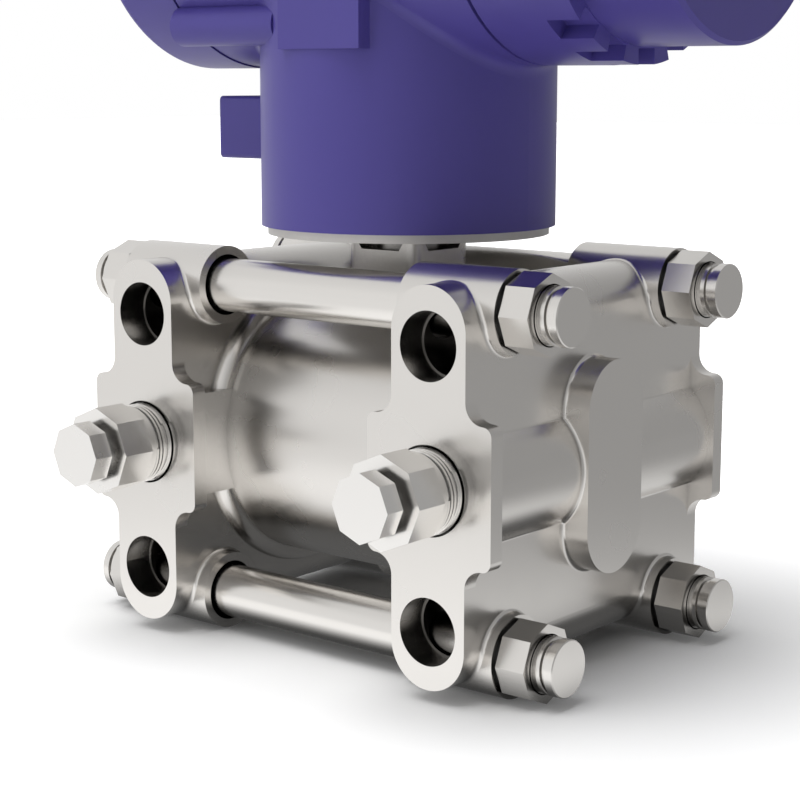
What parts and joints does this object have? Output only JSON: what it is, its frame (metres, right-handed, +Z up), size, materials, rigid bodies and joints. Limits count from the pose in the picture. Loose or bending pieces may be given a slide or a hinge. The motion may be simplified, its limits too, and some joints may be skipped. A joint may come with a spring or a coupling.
{
  "type": "wireless pressure sensor",
  "caption": "Wireless differential pressure sensor: a clamped stainless pressure cell with vent valves, and a turning housing with screw covers, battery and antenna.",
  "frame": {"origin": "centre of the four bolt holes in the rear process face, on that face", "axes": "+Y out of the rear process face, +Z up along the swivel axis, X along the clamping studs"},
  "size_m": [0.1057, 0.0774, 0.2193],
  "materials": {
    "cast_stainless": "satin",
    "bright_stainless": "polished",
    "dark_washer": "satin",
    "grey_module": "satin",
    "violet_paint": "satin",
    "black_rubber": "matte",
    "grey_seal": "matte",
    "green_board": "satin",
    "nickel_spacer": "satin",
    "black_plastic": "satin",
    "battery_wrap": "satin"
  },
  "bodies": {
    "pressure_cell": {"process_flange_left": "cast_stainless", "process_flange_right": "cast_stainless", "sensor_capsule": "cast_stainless", "sensing_cell": "bright_stainless", "isolating_diaphragm_left": "bright_stainless", "isolating_diaphragm_right": "bright_stainless", "process_seal_left": "grey_seal", "process_seal_right": "grey_seal", "stud_bolts": "bright_stainless", "stud_nuts": "bright_stainless", "stud_washers": "dark_washer", "vent_valve_body_left": "bright_stainless", "vent_valve_body_right": "bright_stainless", "sensor_module": "grey_module", "neck_oring": "black_rubber", "module_header": "bright_stainless", "sensor_board": "green_board"},
    "electronics": {"electronics_housing": "violet_paint", "cover_lock_screw": "bright_stainless", "swivel_lock_screw": "bright_stainless", "main_board": "green_board", "radio_board": "green_board", "board_spacers": "nickel_spacer", "board_screws": "bright_stainless", "battery_cradle": "black_plastic", "battery_cell": "battery_wrap", "battery_contacts": "bright_stainless", "antenna_socket": "nickel_spacer"},
    "front_cover_seal": {"front_cover_oring": "black_rubber"},
    "front_cover": {"front_cover": "violet_paint"},
    "rear_cover_seal": {"rear_cover_oring": "black_rubber"},
    "rear_cover": {"rear_cover": "violet_paint"},
    "vent_ball_left": {"vent_ball_left": "bright_stainless"},
    "vent_stem_left": {"vent_stem_left": "bright_stainless"},
    "vent_ball_right": {"vent_ball_right": "bright_stainless"},
    "vent_stem_right": {"vent_stem_right": "bright_stainless"},
    "antenna_base": {"antenna_fork": "black_plastic", "antenna_pin": "bright_stainless"},
    "antenna_whip": {"antenna_whip": "black_plastic"}
  },
  "joints": [
    {"name": "housing_swivel", "type": "hinge", "parent": "pressure_cell", "child": "electronics", "pos_m": [0, -0.03135, 0.0345], "axis": [0, 0, 1], "range_deg": [-180, 180]},
    {"name": "front_cover_travel", "type": "slide", "parent": "electronics", "child": "front_cover_seal", "axis": [1, 0, 0], "range_m": [0, 0.009]},
    {"name": "front_cover_turn", "type": "hinge", "parent": "front_cover_seal", "child": "front_cover", "pos_m": [0.04, -0.03135, 0.0857], "axis": [1, 0, 0], "range_deg": [0, 1620]},
    {"name": "rear_cover_travel", "type": "slide", "parent": "electronics", "child": "rear_cover_seal", "axis": [-1, 0, 0], "range_m": [0, 0.008]},
    {"name": "rear_cover_turn", "type": "hinge", "parent": "rear_cover_seal", "child": "rear_cover", "pos_m": [-0.036, -0.03135, 0.0857], "axis": [-1, 0, 0], "range_deg": [0, 1440]},
    {"name": "vent_left_travel", "type": "slide", "parent": "pressure_cell", "child": "vent_ball_left", "axis": [0, -1, 0], "range_m": [0, 0.0015]},
    {"name": "vent_left_turn", "type": "hinge", "parent": "vent_ball_left", "child": "vent_stem_left", "pos_m": [-0.02907, -0.07415, 0], "axis": [0, -1, 0], "range_deg": [0, 540]},
    {"name": "vent_right_travel", "type": "slide", "parent": "pressure_cell", "child": "vent_ball_right", "axis": [0, -1, 0], "range_m": [0, 0.0015]},
    {"name": "vent_right_turn", "type": "hinge", "parent": "vent_ball_right", "child": "vent_stem_right", "pos_m": [0.02907, -0.07415, 0], "axis": [0, -1, 0], "range_deg": [0, 540]},
    {"name": "antenna_turn", "type": "hinge", "parent": "electronics", "child": "antenna_base", "pos_m": [-0.02, -0.03135, 0.117], "axis": [0, 0, 1], "range_deg": [-180, 180]},
    {"name": "antenna_tilt", "type": "hinge", "parent": "antenna_base", "child": "antenna_whip", "pos_m": [-0.02, -0.03135, 0.1265], "axis": [0, 1, 0], "range_deg": [0, 90]}
  ],
  "couplings": [
    {"joint": "front_cover_travel", "follows": "front_cover_turn", "m_per_rad": 0.00031831},
    {"joint": "rear_cover_travel", "follows": "rear_cover_turn", "m_per_rad": 0.00031831},
    {"joint": "vent_left_turn", "follows": "vent_left_travel", "rad_per_m": 6283.2},
    {"joint": "vent_right_turn", "follows": "vent_right_travel", "rad_per_m": 6283.2}
  ]
}
